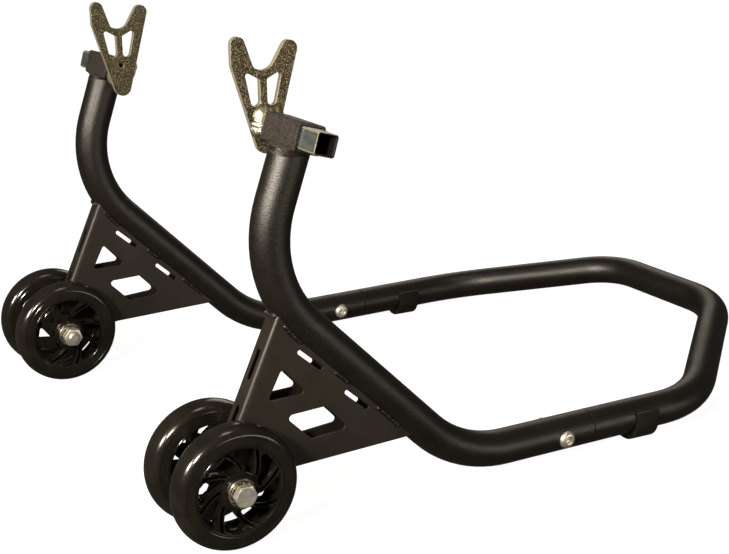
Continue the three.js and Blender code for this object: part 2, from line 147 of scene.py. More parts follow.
def turns_left(loop):
    pairs = zip(loop, loop[1:] + loop[:1])
    return sum(a.x * b.y - b.x * a.y for a, b in pairs) > 0


def plate_levels(depths, bevels):
    """(depth, inset) of each loop from one face of a plate to the other, round each rounded edge."""
    half_round = 0.293  # what a quarter circle has dropped half way round, as a share of its radius

    def from_face(depth, bevel, inward):
        if bevel == 0:
            return [(depth, 0)]
        drop = half_round * bevel
        return [(depth, bevel), (depth + inward * drop, drop), (depth + inward * bevel, 0)]

    return from_face(depths[0], bevels[0], 1) + from_face(depths[1], bevels[1], -1)[::-1]


def add_plate(shape, outline, holes, depths, place, bevels=(0.4, 0.4), caps=(True, True), sharp_at=None):
    """A plate with holes and rounded edges. place(u, v, depth) puts a drawn point into space.
    sharp_at(point) names points of the loops where the edge is left square."""
    loops = [outline if turns_left(outline) else outline[::-1]]
    loops += [hole[::-1] if turns_left(hole) else hole for hole in holes]
    rows = []
    for loop in loops:
        levels = []
        for depth, inset in plate_levels(depths, bevels):
            distances = [0 if sharp_at and sharp_at(point) else inset for point in loop]
            flat_ring = inset_loop(loop, distances)
            ring = shape.add_points(place(point.x, point.y, depth) for point in flat_ring)
            levels.append((ring, flat_ring))
        for (ring, _), (next_ring, _) in zip(levels, levels[1:]):
            shape.add_band(ring, next_ring)
        rows.append(levels)
    for level, wanted in ((0, caps[0]), (-1, caps[1])):
        if not wanted:
            continue
        numbers = [index for levels in rows for index in levels[level][0]]
        flat_loops = [[point.to_3d() for point in levels[level][1]] for levels in rows]
        for triangle in tessellate_polygon(flat_loops):
            shape.add_face([numbers[i] for i in triangle], flat=True)


def rounded_outline(corners, arc_step=9):
    """A closed loop through corners (u, v, radius), each rounded by its radius."""
    loop = []
    count = len(corners)
    for i, (u, v, radius) in enumerate(corners):
        corner = Vector((u, v))
        to_previous = (Vector(corners[i - 1][:2]) - corner).normalized()
        to_next = (Vector(corners[(i + 1) % count][:2]) - corner).normalized()
        half_angle = to_previous.angle(to_next) / 2
        centre = corner + (to_previous + to_next).normalized() * (radius / math.sin(half_angle))
        reach = radius / math.tan(half_angle)
        start = corner + to_previous * reach - centre
        end = corner + to_next * reach - centre
        turn = math.atan2(start.x * end.y - start.y * end.x, start.dot(end))
        steps = max(2, math.ceil(abs(math.degrees(turn)) / arc_step))
        for k in range(steps + 1):
            loop.append(centre + Matrix.Rotation(turn * k / steps, 2) @ start)
    return loop


def full_turn(count):
    """Evenly spaced angles, once round."""
    return [2 * math.pi * k / count for k in range(count)]


def arc_angles(start, sweep, steps):
    """Angles over a sweep, with both of its ends."""
    return [start + sweep * k / steps for k in range(steps + 1)]


def at_angle(radius, angle):
    return Vector((radius * math.cos(angle), radius * math.sin(angle)))


def circle(radius, u=0, v=0, sides=40):
    return [Vector((u, v)) + at_angle(radius, angle) for angle in full_turn(sides)]


def side_view(x, z, y):
    return Vector((x, y, z))


def bent_path(corners, step=4):
    """(point, tangent) along a centreline of straight runs and round bends through (corner, bend)."""
    last = len(corners) - 1
    directions = [(corners[i + 1][0] - corners[i][0]).normalized() for i in range(last)]
    stations = [(corners[0][0], directions[0])]
    for i in range(1, last):
        corner, bend = corners[i]
        inward, outward = directions[i - 1], directions[i]
        turn = inward.angle(outward)
        start = corner - inward * bend * math.tan(turn / 2)
        sideways = (outward - inward * math.cos(turn)).normalized()
        steps = math.ceil(math.degrees(turn) / step)
        for angle in arc_angles(0, turn, steps):
            point = start + inward * bend * math.sin(angle) + sideways * bend * (1 - math.cos(angle))
            tangent = inward * math.cos(angle) + sideways * math.sin(angle)
            stations.append((point, tangent))
    stations.append((corners[last][0], directions[-1]))
    return stations


def carried_sides(stations):
    """A direction square to the path at each station, carried along it without twisting."""
    side = stations[0][1].orthogonal().normalized()
    sides = []
    for _, tangent in stations:
        side = (side - tangent * side.dot(tangent)).normalized()
        sides.append(side)
    return sides


def ring_across(point, tangent, side, radius):
    other = tangent.cross(side)
    return [point + (side * math.cos(a) + other * math.sin(a)) * radius for a in full_turn(64)]


def add_tube(shape, corners, open_start):
    """A round tube along a bent path. An open end has a rounded lip and a bore, and the last end is open."""
    stations = bent_path(corners)
    sides = carried_sides(stations)
    mouth = [
        (TUBE_BORE_DEPTH, TUBE_BORE_RADIUS),
        (2 * TUBE_LIP, TUBE_BORE_RADIUS),
        (0, TUBE_BORE_RADIUS),
        (0, TUBE_RADIUS - TUBE_LIP),
        (0.3 * TUBE_LIP, TUBE_RADIUS - 0.3 * TUBE_LIP),
        (TUBE_LIP, TUBE_RADIUS),
        (3 * TUBE_LIP, TUBE_RADIUS),
    ]

    def mouth_rings(number, inward):
        point, tangent = stations[number]
        return [
            ring_across(point + tangent * inward * depth, tangent, sides[number], radius)
            for depth, radius in mouth
        ]

    rings = [
        ring_across(point, tangent, side, TUBE_RADIUS) for (point, tangent), side in zip(stations, sides)
    ]
    start = mouth_rings(0, 1) if open_start else rings[:1]
    shape.add_rings(start + rings[1:-1] + mouth_rings(-1, -1)[::-1], start_cap=True, end_cap=True)


def add_turned(shape, profile, place, sides=72, joined=True):
    """A turned shape from a profile of (radius, depth) points."""
    angles = full_turn(sides)
    rings = [[place(r * math.cos(a), r * math.sin(a), depth) for a in angles] for r, depth in profile]
    shape.add_rings(rings, joined=joined, start_cap=not joined, end_cap=not joined)


def hexagon_radius(angle, across_flats):
    """How far a hexagon's side is from its middle at an angle."""
    within = (angle + math.pi / 6) % (math.pi / 3) - math.pi / 6
    return across_flats / 2 / math.cos(within)


def add_hexagon(shape, across_flats, depths, place, turned, bore=0):
    """A nut round its bore, or without one a bolt's head, which has no chamfer at its first depth."""
    angles = full_turn(72)
    round_radius = 0.475 * across_flats
    slope = math.tan(math.radians(28))
    bore_chamfer = 0.5
    near, far = depths
    forward = 1 if far > near else -1

    def ring(radius, depth):
        return [place(*at_angle(radius, a + turned), depth) for a in angles]

    def flats(depth, chamfer_slope):
        radii = [hexagon_radius(a, across_flats) for a in angles]
        return [
            place(*at_angle(r, a + turned), depth + (r - round_radius) * chamfer_slope)
            for r, a in zip(radii, angles)
        ]

    def end_rings(face, inward, chamfered):
        rings = []
        if bore > 0:
            rings += [ring(bore, face + inward * bore_chamfer), ring(bore + bore_chamfer, face)]
        if chamfered:
            return rings + [ring(round_radius, face), flats(face, inward * slope)]
        return rings + [flats(face, 0)]

    is_nut = bore > 0
    rings = end_rings(near, forward, is_nut) + end_rings(far, -forward, True)[::-1]
    shape.add_rings(rings, joined=is_nut, start_cap=not is_nut, end_cap=not is_nut)


def add_thread(shape, radius, pitch, depths, place):
    """A threaded end: round ridges one pitch apart and a chamfered tip at the second depth."""
    start, tip = depths
    forward = 1 if tip > start else -1
    root = radius - 0.6 * pitch
    chamfer = 1.0
    profile = [(radius, start)]
    for k in range(int((abs(tip - start) - chamfer) / pitch)):
        for share, reach in ((0.15, radius), (0.5, root), (0.9, radius)):
            profile.append((reach, start + forward * (k + share) * pitch))
    profile.append((radius - 0.2, tip - forward * chamfer))
    profile.append((radius - chamfer, tip))
    add_turned(shape, profile, place, sides=40, joined=False)


def add_bead(shape, points, radius, seed, stitch, lumps):
    """A weld bead along points: a rope of overlapping puddles with uneven width."""
    stations = []
    for i, point in enumerate(points):
        before = points[max(0, i - 1)]
        after = points[min(len(points) - 1, i + 1)]
        stations.append((point, (after - before).normalized()))
    seed_place = Vector((seed * 7.3, seed * 1.9, seed * 4.1))
    rings = []
    travelled = 0.0
    for i, ((point, tangent), side) in enumerate(zip(stations, carried_sides(stations))):
        if i > 0:
            travelled += (point - points[i - 1]).length
        end_taper = min(1.0, 0.35 + 0.5 * min(i, len(stations) - 1 - i))
        ripple = 1 + 0.10 * math.cos(2 * math.pi * travelled / stitch)
        other = tangent.cross(side)
        ring = []
        for angle in full_turn(14):
            outward = side * math.cos(angle) + other * math.sin(angle)
            uneven = 1 + lumps * noise.noise((point + outward * radius) * 0.35 + seed_place)
            ring.append(point + outward * radius * ripple * uneven * end_taper)
        rings.append(ring)
    shape.add_rings(rings, start_cap=True, end_cap=True)


def spaced(points, step):
    """The same run of points, filled in so that neighbours are about one step apart."""
    filled = [points[0]]
    for a, b in zip(points, points[1:]):
        count = max(1, round((b - a).length / step))
        filled += [a.lerp(b, k / count) for k in range(1, count + 1)]
    return filled


# ---- From shape to object ----


def add_piece(name, shape, where, material, body=None, node=None, sharp_above=32):
    """Makes an object from a shape and ties it to the CAD frame. The names of the piece, of a body of its
    own and of the CAD node that it replaces end in where: left or right_outer, say, or nothing."""
    side = -1 if where.startswith("left") else 1
    ending = f"_{where}" if where else ""
    mesh = bpy.data.meshes.new(name + ending)
    points = [((p.x + AXLE_X) / 1000, side * p.y / 1000, p.z / 1000) for p in shape.points]
    mesh.from_pydata(points, [], shape.faces)
    mesh.update()
    turn_faces_outward(mesh)
    mesh.set_sharp_from_angle(angle=math.radians(sharp_above))
    mesh.polygons.foreach_set("use_smooth", [not flat for flat in shape.flat])
    mesh.materials.append(material)
    piece = bpy.data.objects.new(mesh.name, mesh)
    bpy.context.scene.collection.objects.link(piece)
    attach(piece, body + ending if body else "frame")
    if node:
        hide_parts(node + ending)
    return piece


def turn_faces_outward(mesh):
    work = bmesh.new()
    work.from_mesh(mesh)
    bmesh.ops.recalc_face_normals(work, faces=work.faces)
    work.to_mesh(mesh)
    work.free()


# ---- Materials ----


class Nodes:
    """A new material and short ways to add and wire its nodes."""

    def __init__(self, name):
        self.material = bpy.data.materials.new(name)
        self.material.use_nodes = True
        self.tree = self.material.node_tree
        self.surface = self.tree.nodes["Principled BSDF"]
        self.place = self.tree.nodes.new("ShaderNodeTexCoord").outputs["Object"]

    def noise(self, scale, detail=3, roughness=0.55, stretch=None):
        node = self.new("ShaderNodeTexNoise", Scale=scale, Detail=detail, Roughness=roughness)
        source = self.place
        if stretch:
            mapping = self.new("ShaderNodeMapping", Scale=stretch, Vector=self.place)
            source = mapping.outputs["Vector"]
        self.tree.links.new(source, node.inputs["Vector"])
        return node.outputs["Fac"]

    def new(self, kind, **values):
        node = self.tree.nodes.new(kind)
        self.fill(node, values)
        return node

    def fill(self, node, values):
        """Sets a node's inputs, each to a value or to another node's output."""
        for name, value in values.items():
            socket = node.inputs[name.replace("_", " ")]
            if isinstance(value, bpy.types.NodeSocket):
                self.tree.links.new(value, socket)
            else:
                socket.default_value = value

    def spread(self, pattern, low, high, to_low=0.0, to_high=1.0):
        """A pattern stretched so that low becomes to_low and high becomes to_high, and held there."""
        ends = {"From_Min": low, "From_Max": high, "To_Min": to_low, "To_Max": to_high}
        return self.new("ShaderNodeMapRange", Value=pattern, **ends).outputs["Result"]

    def vary(self, pattern, least, most):
        """A value, such as a roughness, that follows a pattern from least to most."""
        return self.spread(pattern, 0.3, 0.7, least, most)

    def mix(self, pattern, first, second, low=0.35, high=0.65):
        """The first colour where the pattern is below low and the second where it is above high, or
        the first above low and the second below high if low is the greater."""
        node = self.tree.nodes.new("ShaderNodeMix")
        node.data_type = "RGBA"
        colours = [(*colour, 1) if isinstance(colour, tuple) else colour for colour in (first, second)]
        self.fill(node, {"Factor": self.spread(pattern, low, high), "A": colours[0], "B": colours[1]})
        return node.outputs["Result"]

    def add(self, first, second):
        node = self.tree.nodes.new("ShaderNodeMath")
        self.tree.links.new(first, node.inputs[0])
        self.tree.links.new(second, node.inputs[1])
        return node.outputs[0]

    def finish(self, colour, bump, **values):
        """Wires the surface: its colour, its bump as (pattern, strength, distance) and other inputs."""
        height, strength, distance = bump
        node = self.new("ShaderNodeBump", Height=height, Strength=strength, Distance=distance)
        self.fill(self.surface, {"Base_Color": colour, "Normal": node.outputs["Normal"], **values})
        return self.material


def powder_coat():
    """Warm satin black powder coat with a fine pebbled skin and a little dust."""
    nodes = Nodes("black_powder_coat")
    base = nodes.mix(nodes.noise(28, 4), (0.0036, 0.0028, 0.0020), (0.0060, 0.0047, 0.0034))
    colour = nodes.mix(nodes.noise(420, 5, 0.7), base, (0.030, 0.024, 0.018), 0.60, 0.78)
    roughness = nodes.vary(nodes.noise(75), 0.34, 0.43)
    bump = (nodes.add(nodes.noise(1700, 2), nodes.noise(640, 2)), 0.34, 0.0004)
    return nodes.finish(colour, bump, Roughness=roughness, Specular_IOR_Level=0.5)


def sheet_coat():
    """The bracket's coat, a little greyer, with faint drawn lines of the sheet under it."""
    nodes = Nodes("black_sheet_coat")
    base = nodes.mix(nodes.noise(22, 4), (0.0095, 0.0074, 0.0052), (0.0155, 0.0125, 0.0092))
    lines = nodes.noise(60, stretch=(14, 14, 1))
    colour = nodes.mix(lines, base, (0.022, 0.018, 0.013), 0.58, 0.90)
    roughness = nodes.vary(nodes.noise(60), 0.38, 0.50)
    bump = (nodes.noise(1100, 2), 0.26, 0.0003)
    return nodes.finish(colour, bump, Roughness=roughness, Specular_IOR_Level=0.42)


def socket_coat():
    """The socket's dry, grainy coat over rough tube."""
    nodes = Nodes("grainy_black_coat")
    grain = nodes.noise(900, 4, 0.7)
    base = nodes.mix(grain, (0.007, 0.0056, 0.0050), (0.052, 0.042, 0.037), 0.44, 0.62)
    roughness = nodes.vary(nodes.noise(90), 0.45, 0.62)
    return nodes.finish(base, (grain, 0.45, 0.0005), Roughness=roughness, Specular_IOR_Level=0.45)


def glossy_plastic():
    """The hubs' glossy black, finely scuffed."""
    nodes = Nodes("hub_plastic")
    base = nodes.mix(nodes.noise(35), (0.0045, 0.0038, 0.0030), (0.0085, 0.0070, 0.0055))
    scuffs = nodes.noise(260, 5, 0.75, stretch=(1, 6, 1))
    colour = nodes.mix(scuffs, base, (0.025, 0.021, 0.017), 0.60, 0.80)
    roughness = nodes.vary(nodes.noise(150, 4), 0.10, 0.20)
    bump = (nodes.noise(420, 2), 0.08, 0.0003)
    return nodes.finish(colour, bump, Roughness=roughness, Specular_IOR_Level=0.35)


def polished_rubber():
    """The tyres' shiny black with dust in its skin."""
    nodes = Nodes("tyre_rubber")
    base = nodes.mix(nodes.noise(45, 4), (0.0055, 0.0048, 0.0038), (0.0105, 0.0090, 0.0070))
    colour = nodes.mix(nodes.noise(700, 5, 0.7), base, (0.028, 0.024, 0.019), 0.62, 0.80)
    roughness = nodes.vary(nodes.noise(110, 4), 0.12, 0.22)
    bump = (nodes.noise(520), 0.10, 0.0003)
    return nodes.finish(colour, bump, Roughness=roughness, Specular_IOR_Level=0.5)


def clear_zinc():
    """Bright zinc plate, pale grey with warm patches and dull spots."""
    nodes = Nodes("clear_zinc")
    base = nodes.mix(nodes.noise(120, 4), (0.74, 0.75, 0.72), (0.88, 0.84, 0.72))
    colour = nodes.mix(nodes.noise(900, 4, 0.7), base, (0.52, 0.50, 0.43), 0.58, 0.72)
    bump = (nodes.noise(800), 0.12, 0.0003)
    return nodes.finish(colour, bump, Metallic=0.95, Roughness=nodes.vary(nodes.noise(300), 0.36, 0.48))


def blue_zinc():
    """Smooth blue-grey zinc plate on drawn tube."""
    nodes = Nodes("blue_zinc")
    drawn = nodes.noise(60, stretch=(3, 1, 3))
    base = nodes.mix(drawn, (0.36, 0.42, 0.44), (0.46, 0.50, 0.50))
    bump = (nodes.noise(500, 2), 0.06, 0.0003)
    return nodes.finish(base, bump, Metallic=0.95, Roughness=nodes.vary(drawn, 0.24, 0.36))


def painted_inside_shade():
    """Painted shade: the inside of the slide tube, coloured near black to stand in for the shade in it."""
    nodes = Nodes("shaded_inside_black")
    scale = nodes.noise(400, 4)
    base = nodes.mix(scale, (0.003, 0.0027, 0.0024), (0.008, 0.007, 0.006))
    return nodes.finish(base, (scale, 0.2, 0.0004), Roughness=0.6, Specular_IOR_Level=0.2)


def olive_zinc():
    """Olive-yellow zinc plate over rolled plate, strongly speckled."""
    nodes = Nodes("olive_zinc")
    base = nodes.mix(nodes.noise(90, 4), (0.050, 0.040, 0.022), (0.090, 0.074, 0.042))
    speckle = nodes.noise(980, 4, 0.62)
    pale = nodes.mix(speckle, base, (0.60, 0.54, 0.38), 0.54, 0.66)
    colour = nodes.mix(speckle, pale, (0.030, 0.024, 0.013), 0.50, 0.42)
    roughness = nodes.spread(speckle, 0.35, 0.65, 0.30, 0.52)
    return nodes.finish(colour, (speckle, 0.45, 0.0006), Metallic=0.9, Roughness=roughness)


def cut_edge_and_highlight_zinc():
    """The pale cream of a cut or worn edge, also put on the slide tube's rounded corners as a painted
    highlight.
    """
    nodes = Nodes("cut_edge_and_highlight_zinc")
    streaks = nodes.noise(300, 4, stretch=(1, 5, 1))
    base = nodes.mix(streaks, (0.72, 0.66, 0.46), (0.90, 0.86, 0.70))
    bump = (streaks, 0.25, 0.0004)
    return nodes.finish(base, bump, Metallic=0.85, Roughness=nodes.vary(streaks, 0.28, 0.42))


def weld_metal():
    """Zinc-plated weld, lumpy and bright with yellow patches and pits."""
    nodes = Nodes("plated_weld")
    patches = nodes.noise(260, 4)
    base = nodes.mix(patches, (0.30, 0.32, 0.30), (0.33, 0.28, 0.15), 0.38, 0.62)
    colour = nodes.mix(nodes.noise(600, 5, 0.7), base, (0.13, 0.11, 0.06), 0.58, 0.70)
    roughness = nodes.spread(patches, 0.38, 0.62, 0.30, 0.44)
    bump = (nodes.noise(480, 5, 0.6), 0.5, 0.0008)
    return nodes.finish(colour, bump, Metallic=0.9, Roughness=roughness)


def painted_weld():
    """Weld under the powder coat: the same black, shinier on its ripples."""
    nodes = Nodes("painted_weld")
    patches = nodes.noise(500, 4)
    base = nodes.mix(patches, (0.012, 0.010, 0.008), (0.034, 0.029, 0.024), 0.45, 0.75)
    bump = (nodes.noise(650), 0.22, 0.0004)
    return nodes.finish(base, bump, Roughness=nodes.vary(patches, 0.36, 0.48), Specular_IOR_Level=0.3)


def bearing_steel():
    """The bearings' ground steel."""
    nodes = Nodes("bearing_steel")
    turned = nodes.noise(500)
    base = nodes.mix(turned, (0.52, 0.52, 0.52), (0.66, 0.65, 0.62))
    bump = (turned, 0.08, 0.0002)
    return nodes.finish(base, bump, Metallic=0.95, Roughness=nodes.vary(turned, 0.20, 0.34))


def studio_floor():
    """The plain floor, which glows so that it stays almost white in the dim studio."""
    nodes = Nodes("studio_floor")
    base = nodes.mix(nodes.noise(3), (0.25, 0.25, 0.26), (0.27, 0.27, 0.28))
    glow = {"Emission_Color": (1, 1, 1, 1), "Emission_Strength": 0.95}
    bump = (nodes.noise(700, 2), 0.02, 0.0002)
    return nodes.finish(base, bump, Roughness=0.95, Specular_IOR_Level=0, **glow)


COAT = powder_coat()
SHEET_COAT = sheet_coat()
SOCKET_COAT = socket_coat()
PLASTIC = glossy_plastic()
RUBBER = polished_rubber()
ZINC = clear_zinc()
BLUE_ZINC = blue_zinc()
INSIDE_SHADE = painted_inside_shade()
OLIVE = olive_zinc()
CUT_EDGE_AND_HIGHLIGHT = cut_edge_and_highlight_zinc()
WELD = weld_metal()
PAINTED_WELD = painted_weld()
BEARING_STEEL = bearing_steel()

# ---- Frame tubes ----


def leg_point(x):
    """The point of the straight run between heel and shoulder, across the seam, at this x."""
    return ARM_HEEL.lerp(HANDLE_SHOULDER, (x - ARM_HEEL.x) / (HANDLE_SHOULDER.x - ARM_HEEL.x))


def across(point):
    return Vector((point.x, -point.y, point.z))


def arm_corners():
    into_weld = (ARM_TOP - ARM_BELLY).normalized() * 4.5
    return [(ARM_TOP + into_weld, 0), (ARM_BELLY, BELLY_BEND), (ARM_HEEL, HEEL_BEND), (leg_point(SEAM_X), 0)]


def make_arm(side):
    shape = Shape()
    add_tube(shape, arm_corners(), open_start=False)
    add_piece("arm_tube", shape, side, COAT, node="arm")


def make_handle():
    seam = leg_point(SEAM_X + SEAM_GAP)
    half = [(seam, 0), (HANDLE_SHOULDER, SHOULDER_BEND), (HANDLE_CORNER, CORNER_BEND)]
    other_half = [(across(point), bend) for point, bend in reversed(half)]
    shape = Shape()
    add_tube(shape, half + other_half, open_start=True)
    add_piece("handle_tube", shape, "", COAT, node="handle")


def make_foot(side):
    """The saddle that the handle stands on: a U of thick sheet, flat where it meets the floor."""
    middle = leg_point(FOOT_X)
    leaning = (HANDLE_SHOULDER - ARM_HEEL).normalized()
    radius = 17.2
    inner_radius = TUBE_RADIUS + 0.1
    top = 8
    flat_half = 3.2
    flat_angle = math.asin(flat_half / radius)
    round_sweep = math.pi / 2 - flat_angle
    round_centre = Vector((0, radius * math.cos(flat_angle) - middle.z))
    mouth = math.asin(top / inner_radius)
    outline = [Vector((-radius, top))]
    for start in (math.pi, 1.5 * math.pi + flat_angle):
        outline += [round_centre + at_angle(radius, angle) for angle in arc_angles(start, round_sweep, 14)]
    outline.append(Vector((radius, top)))
    outline += [at_angle(inner_radius, angle) for angle in arc_angles(mouth, -math.pi - 2 * mouth, 32)]

    def along_leg(u, v, depth):
        point = middle + leaning * depth
        return Vector((point.x, point.y + u, middle.z + v))

    shape = Shape()
    half = FOOT_LENGTH / 2
    add_plate(shape, outline, [], (-half, half), along_leg, bevels=(0.5, 0.5))
    add_piece("foot_saddle", shape, side, COAT, node="foot")


# ---- Joint bolts, whose heads both point to -Y ----


def make_joint_bolt(side):
    """A button-head bolt through the arm and its nut on the tube's other face."""
    middle = leg_point(JOINT_X)
    head_side = -SIDES[side]
    seat = TUBE_RADIUS - 0.2
    head_radius, rim_bevel, rim_height, crown_radius = 7.5, 0.4, 1.0, 3.6
    dome_height = 3.6
    recess_radius, recess_flats, recess_chamfer, recess_depth = 3.25, 5.0, 0.45, 2.6
    top = seat + rim_height + dome_height
    angles = full_turn(72)

    def place(u, v, depth):
        return Vector((middle.x + u, middle.y + head_side * depth, middle.z + v))

    def round_ring(radius, depth):
        return [place(*at_angle(radius, a), depth) for a in angles]

    def hexagon_ring(across_flats, depth):
        return [place(*at_angle(hexagon_radius(a, across_flats), a), depth) for a in angles]

    rings = [round_ring(M8_RADIUS, seat - 6), round_ring(head_radius - rim_bevel, seat)]
    rings.append(round_ring(head_radius, seat + rim_bevel))
    for angle in arc_angles(0, math.pi / 2, 9):
        radius = crown_radius + (head_radius - crown_radius) * math.cos(angle)
        rings.append(round_ring(radius, seat + rim_height + dome_height * math.sin(angle)))
    rings.append(round_ring(recess_radius, top - 0.1))
    rings.append(hexagon_ring(recess_flats, top - recess_chamfer))
    rings.append(hexagon_ring(recess_flats, top - recess_depth))
    rings.append(round_ring(0.6, top - recess_depth - 0.9))
    shape = Shape()
    shape.add_rings(rings, start_cap=True, end_cap=True)
    add_thread(shape, M8_RADIUS, M8_PITCH, (seat - 1, -(TUBE_RADIUS + 10)), place)
    add_piece("joint_button_bolt", shape, side, ZINC, node="joint_bolt")

    nut = Shape()
    nut_near = -(TUBE_RADIUS - 0.3)
    nut_height = 6.8
    add_hexagon(nut, M8_FLATS, (nut_near, nut_near - nut_height), place, turned=0.3, bore=4.1)
    add_piece("joint_hex_nut", nut, side, ZINC, node="joint_nut")


# ---- Wheel bracket ----

FLANGE_TOP = Vector((42.7, 166.1))
FLANGE_FOOT = Vector((12.4, 94))
FLANGE_DOWN = (FLANGE_FOOT - FLANGE_TOP).normalized()
INTO_BRACKET = Vector((-FLANGE_DOWN.y, FLANGE_DOWN.x))
FLANGE_START_Z, FLANGE_END_Z = 176, 70
BRACKET_HALF_WIDTH = 9.3
SHEET = 2
FOLD_RADIUS = 3.2


def front_edge(z):
    return FLANGE_TOP.lerp(FLANGE_FOOT, (FLANGE_TOP.y - z) / (FLANGE_TOP.y - FLANGE_FOOT.y))


def slot_outline(start, end, width):
    """A slot with rounded ends that lie at two points."""
    along = (end - start).normalized()
    aside = Vector((-along.y, along.x)) * width / 2
    corners = [start + aside, start - aside, end - aside, end + aside]
    return rounded_outline([(c.x, c.y, width * 0.49) for c in corners], arc_step=15)


def bracket_side_loops():
    top = front_edge(FLANGE_START_Z) + INTO_BRACKET * FOLD_RADIUS
    foot = front_edge(FLANGE_END_Z) + INTO_BRACKET * FOLD_RADIUS
    outline = rounded_outline(
        [
            (*top, 0.2),
            (*foot, 0.2),
            (*front_edge(FLANGE_END_Z), 1.0),
            (*front_edge(66), 3),
            (-16, 50, 9),
            (-5, 36, 8),
            (60, 45.9, 20),
            (170, 51.4, 1),
            (165, 68, 1),
            (72, 157, 1),
        ]
    )
    holes = [
        rounded_outline([(48, 128.3, 2.5), (36, 103.7, 2.5), (69.5, 105.3, 2.5)]),
        rounded_outline([(50.3, 89.1, 3), (73.8, 66.2, 3), (106.6, 69.2, 3), (85.2, 91.1, 3)]),
        slot_outline(Vector((61.7, 140.1)), Vector((82.6, 122.4)), 3.8),
        slot_outline(Vector((102.8, 100.5)), Vector((123.9, 82.4)), 3.8),
        circle(8.1, 0, AXLE_Z),
    ]
    return outline, holes


def add_bracket_sides(shape):
    outline, holes = bracket_side_loops()
    top = front_edge(FLANGE_START_Z)

    def on_fold_line(point):
        near_fold = (point - top).dot(INTO_BRACKET) < FOLD_RADIUS + 0.5
        return near_fold and point.y > FLANGE_END_Z + 1

    for inner in (ARM_Y - BRACKET_HALF_WIDTH, ARM_Y + BRACKET_HALF_WIDTH - SHEET):
        add_plate(shape, outline, holes, (inner, inner + SHEET), side_view, sharp_at=on_fold_line)


def add_bracket_flange(shape):
    """The front flange with its two slots, and the folds that join it to the bracket's sides."""
    top = front_edge(FLANGE_START_Z)
    length = (front_edge(FLANGE_END_Z) - top).length
    flat_half = BRACKET_HALF_WIDTH - FOLD_RADIUS

    def face_view(along, y, depth):
        point = top + FLANGE_DOWN * along + INTO_BRACKET * depth
        return Vector((point.x, y, point.y))

    def on_middle_at(z):
        return Vector(((top.y - z) / -FLANGE_DOWN.y, ARM_Y))

    def on_outline(point):
        return abs(point.y - ARM_Y) > flat_half - 0.01 or point.x < 0.01 or point.x > length - 0.01

    corners = [(0, -flat_half), (length, -flat_half), (length, flat_half), (0, flat_half)]
    outline = [Vector((along, ARM_Y + y)) for along, y in corners]
    slots = [slot_outline(on_middle_at(144), on_middle_at(121), 6)]
    slots.append(slot_outline(on_middle_at(102), on_middle_at(78), 6))
    add_plate(shape, outline, slots, (0, SHEET), face_view, sharp_at=on_outline)

    fold = [(FOLD_RADIUS, angle) for angle in arc_angles(0, math.pi / 2, 8)]
    fold += [(FOLD_RADIUS - SHEET, angle) for angle in arc_angles(math.pi / 2, -math.pi / 2, 8)]
    for hand in (-1, 1):
        rings = []
        for along in (0, length):
            ring = []
            for radius, angle in fold:
                y = flat_half + radius * math.sin(angle)
                ring.append(face_view(along, ARM_Y + hand * y, FOLD_RADIUS - radius * math.cos(angle)))
            rings.append(ring)
        shape.add_rings(rings, start_cap=True, end_cap=True)


def make_bracket(side):
    shape = Shape()
    add_bracket_sides(shape)
    add_bracket_flange(shape)
    add_piece("wheel_bracket", shape, side, SHEET_COAT, node="bracket")
    make_bracket_welds(side)


def make_bracket_welds(side):
    """Stitch welds along the arm on both faces of the bracket, and a puddle on top of the flange."""
    proud = 0.4
    from_centre = math.sqrt(TUBE_RADIUS**2 - (BRACKET_HALF_WIDTH - 0.6) ** 2) + proud
    edge = []
    for point, tangent in bent_path(arm_corners(), step=2):
        edge.append(point + Vector((tangent.z, 0, -tangent.x)) * from_centre)
    edge = spaced(edge, 0.8)
    shape = Shape()
    for number, (z_from, z_to) in enumerate(((163, 146), (118, 106), (82, 62))):
        run = [point for point in edge if z_to < point.z < z_from and point.x < 165]
        for hand in (-1, 1):
            moved = [point + Vector((0, hand * BRACKET_HALF_WIDTH, 0)) for point in run]
            add_bead(shape, moved, 1.9, number + (hand + 1) * 3, stitch=3.4, lumps=0.26)
    add_piece("stitch_weld", shape, side, COAT, sharp_above=60)
    shape = Shape()
    top = Vector((FLANGE_TOP.x + 1.2, ARM_Y, FLANGE_TOP.y + 3.2))
    puddle = [top + Vector((0, y, 0.02 * y * y)) for y in range(-8, 9)]
    add_bead(shape, spaced(puddle, 0.8), 2.6, seed=11, stitch=3.2, lumps=0.5)
    add_piece("flange_weld", shape, side, PAINTED_WELD, sharp_above=60)


# ---- Axle ----


def outboard(u, v, depth):
    """Round the axle line, with depth along +Y."""
    return Vector((u, depth, AXLE_Z + v))


def add_washer(shape, bore, radius, bevel, start, end, place):
    """A flat washer with its outer edges and one edge of its bore taken off."""
    inward = bevel if end > start else -bevel
    profile = [(bore, start), (radius - bevel, start), (radius, start + inward), (radius, end - inward)]
    profile += [(radius - bevel, end), (bore + 0.3, end), (bore, end - inward)]
    add_turned(shape, profile, place)


